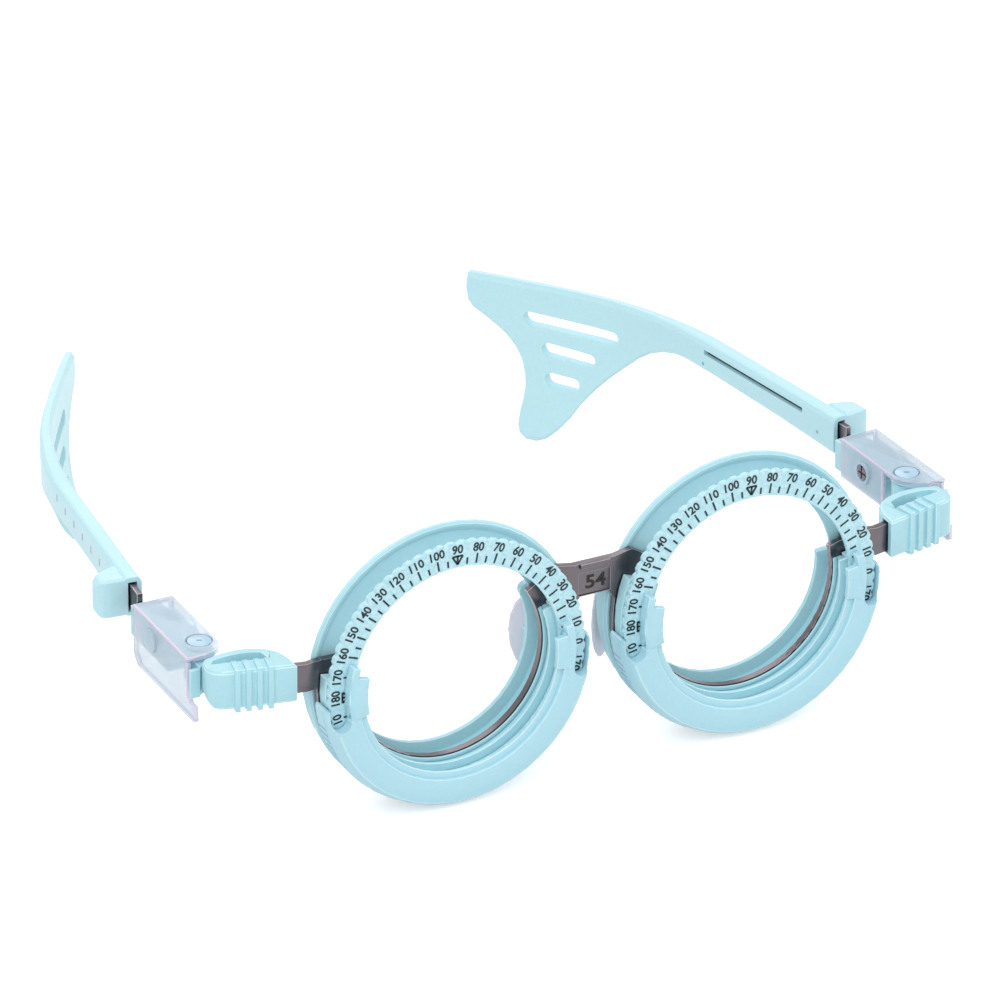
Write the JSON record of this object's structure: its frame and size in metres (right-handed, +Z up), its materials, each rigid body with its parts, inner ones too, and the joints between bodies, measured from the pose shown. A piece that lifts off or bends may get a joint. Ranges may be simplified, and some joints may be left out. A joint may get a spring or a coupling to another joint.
{
  "type": "optical trial frame",
  "caption": "Adjustable optical trial frame with round rotating lens holders over degree scales, width sliders, nose pads and folding, tilting, extending slotted temples.",
  "frame": {"origin": "middle of the bounding box in plan, on the surface that the lens cells stand on", "axes": "+X across the face towards the wearer's left, +Y from the front of the frame back along the temples, +Z up"},
  "size_m": [0.1434, 0.1236, 0.0486],
  "materials": {
    "moulded_teal": "semi-gloss moulded polymer",
    "pale_teal": "semi-gloss moulded polymer",
    "scale_teal": "mottled satin with dark print",
    "dark_metal": "dark satin plated metal",
    "clear_plastic": "clear polished polymer",
    "silicone": "translucent soft silicone"
  },
  "bodies": {
    "front": {"metal_chassis": "dark_metal", "rear_cell_right": "moulded_teal", "rear_cell_left": "moulded_teal", "front_cell_right": "moulded_teal", "front_cell_left": "moulded_teal", "cell_screw_right_1": "dark_metal", "cell_screw_right_2": "dark_metal", "cell_screw_left_1": "dark_metal", "cell_screw_left_2": "dark_metal", "scale_ring_right": "scale_teal", "scale_ring_left": "scale_teal", "nose_pad_right": "silicone", "nose_pad_left": "silicone", "nose_pad_bracket_right": "moulded_teal", "nose_pad_bracket_left": "moulded_teal"},
    "right_lens_holder": {"lens_holder_right": "pale_teal"},
    "left_lens_holder": {"lens_holder_left": "pale_teal"},
    "right_slider": {"width_slider_right": "moulded_teal", "hinge_post_right": "moulded_teal", "fold_pin_right": "moulded_teal"},
    "left_slider": {"width_slider_left": "moulded_teal", "hinge_post_left": "moulded_teal", "fold_pin_left": "moulded_teal"},
    "right_cover": {"clear_cover_right": "clear_plastic", "tilt_screw_right": "dark_metal"},
    "left_cover": {"clear_cover_left": "clear_plastic", "tilt_screw_left": "dark_metal"},
    "right_tilt_block": {"tilt_block_right": "moulded_teal", "temple_strip_right": "dark_metal"},
    "left_tilt_block": {"tilt_block_left": "moulded_teal", "temple_strip_left": "dark_metal"},
    "right_temple": {"temple_right": "moulded_teal"},
    "left_temple": {"temple_left": "moulded_teal"}
  },
  "joints": [
    {"name": "right_lens_turn", "type": "hinge", "parent": "front", "child": "right_lens_holder", "pos_m": [-0.02645, -0.05963, 0.0243], "axis": [0, -1, 0], "continuous": true},
    {"name": "left_lens_turn", "type": "hinge", "parent": "front", "child": "left_lens_holder", "pos_m": [0.02755, -0.05963, 0.0243], "axis": [0, -1, 0], "continuous": true},
    {"name": "right_width_slide", "type": "slide", "parent": "front", "child": "right_slider", "axis": [-0.9744, 0.225, 0], "range_m": [-0.002, 0.003]},
    {"name": "left_width_slide", "type": "slide", "parent": "front", "child": "left_slider", "axis": [0.9744, 0.225, 0], "range_m": [-0.002, 0.003]},
    {"name": "right_fold", "type": "hinge", "parent": "right_slider", "child": "right_cover", "pos_m": [-0.06495, -0.04273, 0.0273], "axis": [0, 0, -1], "range_deg": [-6, 72]},
    {"name": "left_fold", "type": "hinge", "parent": "left_slider", "child": "left_cover", "pos_m": [0.06606, -0.04273, 0.0273], "axis": [0, 0, 1], "range_deg": [-6, 50]},
    {"name": "right_tilt", "type": "hinge", "parent": "right_cover", "child": "right_tilt_block", "pos_m": [-0.0648, -0.03363, 0.0277], "axis": [0.9998, -0.0174, 0], "range_deg": [-7, 6]},
    {"name": "left_tilt", "type": "hinge", "parent": "left_cover", "child": "left_tilt_block", "pos_m": [0.06542, -0.03365, 0.0277], "axis": [0.9976, 0.0698, 0], "range_deg": [-7, 6]},
    {"name": "right_length", "type": "slide", "parent": "right_tilt_block", "child": "right_temple", "axis": [-0.1167, -0.9932, 0], "range_m": [-0.025, 0]},
    {"name": "left_length", "type": "slide", "parent": "left_tilt_block", "child": "left_temple", "axis": [0.1685, -0.9857, 0], "range_m": [-0.025, 0]}
  ]
}
